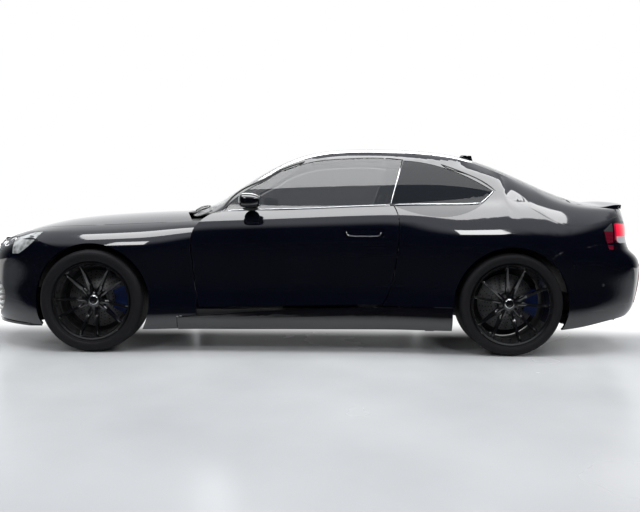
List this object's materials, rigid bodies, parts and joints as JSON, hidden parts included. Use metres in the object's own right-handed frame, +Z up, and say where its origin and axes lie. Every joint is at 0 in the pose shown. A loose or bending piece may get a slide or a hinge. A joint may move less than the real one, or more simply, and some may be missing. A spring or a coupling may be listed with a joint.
{
  "type": "car",
  "caption": "Two-door sports coupe on its wheels: bonnet, boot lid and doors open, road wheels roll and steer, with a hollow trimmed cabin.",
  "frame": {"origin": "on the ground, at the middle of the overall length and width", "axes": "+X towards the tail, -Y towards the car's left side, +Z up"},
  "size_m": [4.5797, 2.06, 1.403],
  "materials": {
    "body_paint": "deep gloss black",
    "side_glass": "dark tinted, polished",
    "screen_glass": "clear, lightly tinted",
    "lamp_lens": "clear, polished",
    "lamp_inner": "dark satin with bright parts",
    "tail_lens": "dark red, polished",
    "black_trim": "gloss black",
    "black_plastic": "matt, fine grain",
    "tyre_rubber": "matt",
    "rim_black": "gloss black",
    "brake_iron": "turned, bare",
    "knuckle_metal": "bare casting",
    "chassis_steel": "satin black",
    "structure_steel": "satin body colour",
    "seat_leather": "soft black leather",
    "cabin_plastic": "soft-touch",
    "engine_alloy": "as cast",
    "exhaust_steel": "brushed"
  },
  "bodies": {
    "body": {"front_bumper": "body_paint", "rear_bumper": "body_paint", "fender_left": "body_paint", "fender_right": "body_paint", "roof_panel": "body_paint", "side_frame_left": "body_paint", "side_frame_right": "body_paint", "side_skirts": "black_trim", "sills": "structure_steel", "quarter_glass": "side_glass", "windscreen": "screen_glass", "rear_window": "side_glass", "headlamp_lenses": "lamp_lens", "headlamp_units": "lamp_inner", "tail_lamps": "tail_lens", "grille": "black_trim", "antenna": "black_trim", "floor_pan": "structure_steel", "bulkheads": "structure_steel", "wheel_liners": "black_plastic", "jacking_pads": "black_plastic", "boot_floor": "structure_steel", "chassis_rails": "structure_steel", "seat_frames": "chassis_steel", "diffuser": "black_trim", "front_splitter": "black_trim", "dashboard": "cabin_plastic", "front_seats": "seat_leather", "rear_bench": "seat_leather", "steering_wheel": "seat_leather", "engine_block": "engine_alloy", "front_subframe": "chassis_steel", "rear_subframe": "chassis_steel", "drive_shafts": "chassis_steel", "exhaust": "exhaust_steel", "rear_knuckles": "knuckle_metal"},
    "bonnet": {"bonnet": "body_paint"},
    "boot_lid": {"boot_lid": "body_paint"},
    "door_left": {"door_left": "body_paint", "door_glass_left": "side_glass", "mirror_left": "black_trim"},
    "door_right": {"door_right": "body_paint", "door_glass_right": "side_glass", "mirror_right": "black_trim"},
    "steering_left": {"front_knuckle_left": "knuckle_metal"},
    "steering_right": {"front_knuckle_right": "knuckle_metal"},
    "front_wheel_left": {"front_tyre_left": "tyre_rubber", "front_rim_left": "rim_black", "front_disc_left": "brake_iron"},
    "front_wheel_right": {"front_tyre_right": "tyre_rubber", "front_rim_right": "rim_black", "front_disc_right": "brake_iron"},
    "rear_wheel_left": {"rear_tyre_left": "tyre_rubber", "rear_rim_left": "rim_black", "rear_disc_left": "brake_iron"},
    "rear_wheel_right": {"rear_tyre_right": "tyre_rubber", "rear_rim_right": "rim_black", "rear_disc_right": "brake_iron"}
  },
  "joints": [
    {"name": "front_wheel_left_spin", "type": "hinge", "parent": "steering_left", "child": "front_wheel_left", "pos_m": [-1.432, -0.8085, 0.3375], "axis": [0, 1, 0], "continuous": true},
    {"name": "front_wheel_right_spin", "type": "hinge", "parent": "steering_right", "child": "front_wheel_right", "pos_m": [-1.432, 0.8085, 0.3375], "axis": [0, 1, 0], "continuous": true},
    {"name": "rear_wheel_left_spin", "type": "hinge", "parent": "body", "child": "rear_wheel_left", "pos_m": [1.315, -0.8025, 0.3395], "axis": [0, 1, 0], "continuous": true},
    {"name": "rear_wheel_right_spin", "type": "hinge", "parent": "body", "child": "rear_wheel_right", "pos_m": [1.315, 0.8025, 0.3395], "axis": [0, 1, 0], "continuous": true},
    {"name": "steer_left", "type": "hinge", "parent": "body", "child": "steering_left", "pos_m": [-1.432, -0.8085, 0.3375], "axis": [0, 0, 1], "range_deg": [-35, 35]},
    {"name": "steer_right", "type": "hinge", "parent": "body", "child": "steering_right", "pos_m": [-1.432, 0.8085, 0.3375], "axis": [0, 0, 1], "range_deg": [-35, 35]},
    {"name": "door_left_hinge", "type": "hinge", "parent": "body", "child": "door_left", "pos_m": [-0.715, -0.875, 0.6], "axis": [0, 0, -1], "range_deg": [0, 65]},
    {"name": "door_right_hinge", "type": "hinge", "parent": "body", "child": "door_right", "pos_m": [-0.715, 0.875, 0.6], "axis": [0, 0, 1], "range_deg": [0, 65]},
    {"name": "bonnet_hinge", "type": "hinge", "parent": "body", "child": "bonnet", "pos_m": [-0.806, 0, 0.905], "axis": [0, 1, 0], "range_deg": [0, 45]},
    {"name": "boot_lid_hinge", "type": "hinge", "parent": "body", "child": "boot_lid", "pos_m": [1.8, 0, 1.05], "axis": [0, -1, 0], "range_deg": [0, 75]}
  ],
  "couplings": [
    {"joint": "steer_right", "follows": "steer_left", "ratio": 1}
  ]
}
